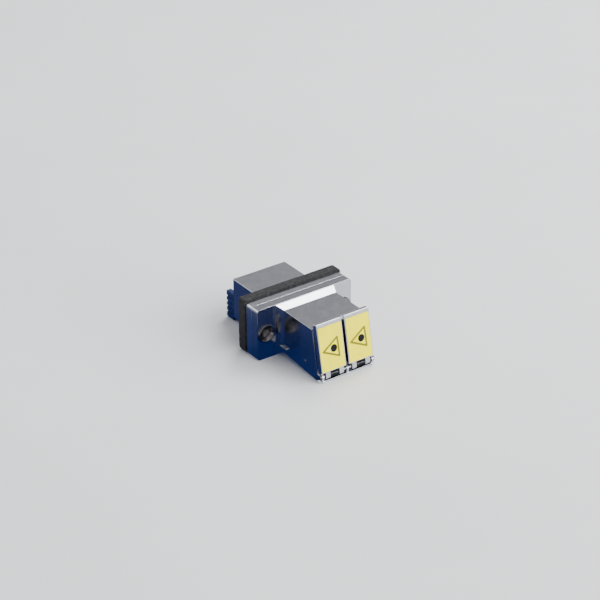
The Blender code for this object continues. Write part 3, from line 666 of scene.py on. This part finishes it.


# ---------------------------------------------------------------- floor, painted reflection cards and light

# Where the painted reflection cards lie, and where their blue fades to pale.
CARD_LEFT_REACH = 55 * MM          # how far the left card runs out from the doors' left side
CARD_SIDE_GAP = 0.5 * MM
CARD_FRONT = PIN_Y - 60 * MM
CARD_UNDER_FRONT = PIN_Y + 1 * MM
CARD_BACK = PIN_Y + 140 * MM
FADE_FROM, FADE_TO = 28.0, 55.0    # millimetres left of the centre line
WORLD_TINT = (0.97, 0.985, 1.03)
WORLD_LEVELS = ((0.0, 0.9), (0.25, 1.45), (0.46, 1.2), (0.54, 0.45), (0.75, 0.35), (1.0, 0.60))
WORLD_STRENGTH = 0.9
AIM = Vector((0, 0, 6 * MM))       # where the lights point: the middle of the object
FLOOR_SIZE = 4.0
CARD_HEIGHT = 0.01 * MM


def make_floor():
    """Pale paper, which the polished metal doesn't mirror."""
    bpy.ops.mesh.primitive_plane_add(size=FLOOR_SIZE, location=(0, 0, 0))
    floor = bpy.context.object
    floor.name = "floor"
    finish = Finish("floor_paper", Roughness=0.7)
    tone = finish.noise(0.02)
    finish.colour(finish.ramp(tone, (0.3, (0.86, 0.87, 0.89)), (0.7, (0.89, 0.90, 0.92))))
    floor.data.materials.append(finish.material)
    floor.visible_glossy = False


def painted_reflection_card(name, left, right, front, back):
    """A glowing card on the floor, seen only in the polished metal: a painted reflection, dark blue, fading
    to pale at the left.
    """
    bpy.ops.mesh.primitive_plane_add(size=1.0)
    card = bpy.context.object
    card.name = name
    middle = Vector(((left + right) / 2, (front + back) / 2, CARD_HEIGHT))
    card.data.transform(Matrix.Translation(middle) @ Matrix.Diagonal((right - left, back - front, 1, 1)))
    finish = Finish("painted_reflection_blue", Roughness=0.9, Emission_Strength=1.0)
    cloudy = finish.noise(0.06)
    finish.colour(finish.ramp(cloudy, (0.3, (0.0, 0.0, 0.0)), (0.7, (0.002, 0.002, 0.002))))
    blue = finish.ramp(cloudy, (0.3, (0.0, 0.010, 0.085)), (0.7, (0.0, 0.018, 0.125)))
    leftwards = finish.vector_math("DOT_PRODUCT", finish.space, (-1.0, 0.0, 0.0))
    fade = finish.math("POWER", finish.spread(leftwards, FADE_FROM, FADE_TO), 0.7)
    finish.link(finish.mix(fade, blue, (0.85, 0.87, 0.92)), finish.shader.inputs["Emission Color"])
    card.data.materials.append(finish.material)
    card.visible_camera = False
    card.visible_diffuse = False
    card.visible_shadow = False
    card.visible_transmission = False


def soft_light(name, direction, distance, size, power, mirrored=True):
    """A round softbox that looks at the object from the given direction."""
    data = bpy.data.lights.new(name, "AREA")
    data.shape = "DISK"
    data.size = size
    data.energy = power
    light = bpy.data.objects.new(name, data)
    bpy.context.scene.collection.objects.link(light)
    towards = Vector(direction).normalized()
    light.location = AIM + towards * distance
    light.rotation_mode = "QUATERNION"
    light.rotation_quaternion = (-towards).to_track_quat("-Z", "Y")
    light.visible_glossy = mirrored


def make_world():
    """A room that is pale low down, where the floor would be mirrored, and greyer above."""
    world = bpy.data.worlds.new("studio")
    bpy.context.scene.world = world
    world.use_nodes = True
    tree = world.node_tree
    background = tree.nodes["Background"]
    coordinates = tree.nodes.new("ShaderNodeTexCoord")
    parts = tree.nodes.new("ShaderNodeSeparateXYZ")
    height = tree.nodes.new("ShaderNodeMapRange")
    height.inputs["From Min"].default_value = -1.0
    ramp = tree.nodes.new("ShaderNodeValToRGB")
    elements = ramp.color_ramp.elements
    for index, (place, level) in enumerate(WORLD_LEVELS):
        element = elements[index] if index < 2 else elements.new(place)
        element.position = place
        element.color = (*(part * level for part in WORLD_TINT), 1.0)
    tree.links.new(coordinates.outputs["Generated"], parts.inputs["Vector"])
    tree.links.new(parts.outputs["Z"], height.inputs["Value"])
    tree.links.new(height.outputs["Result"], ramp.inputs["Fac"])
    tree.links.new(ramp.outputs["Color"], background.inputs["Color"])
    background.inputs["Strength"].default_value = WORLD_STRENGTH


make_floor()
side_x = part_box("left_door")[0].x - CARD_SIDE_GAP
under_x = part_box("right_door")[1].x
# Painted reflection: these glowing cards put a dark blue reflection into the metal beside and under the
# object.
painted_reflection_card("painted_reflection_left", side_x - CARD_LEFT_REACH, side_x, CARD_FRONT, CARD_BACK)
painted_reflection_card("painted_reflection_under", side_x, under_x, CARD_UNDER_FRONT, CARD_BACK)
make_world()
soft_light("key_softbox", direction=(0.508, 0.302, 0.808), distance=0.45, size=0.24, power=1.3)
soft_light("front_softbox", direction=(0.60, -0.75, 0.55), distance=0.90, size=1.20, power=20.0,
           mirrored=False)
soft_light("glint_light", direction=(0.50, -0.85, 0.16), distance=0.60, size=0.26, power=0.9)
soft_light("rim_light", direction=(-0.49, 0.71, 0.51), distance=0.50, size=0.36, power=0.45)
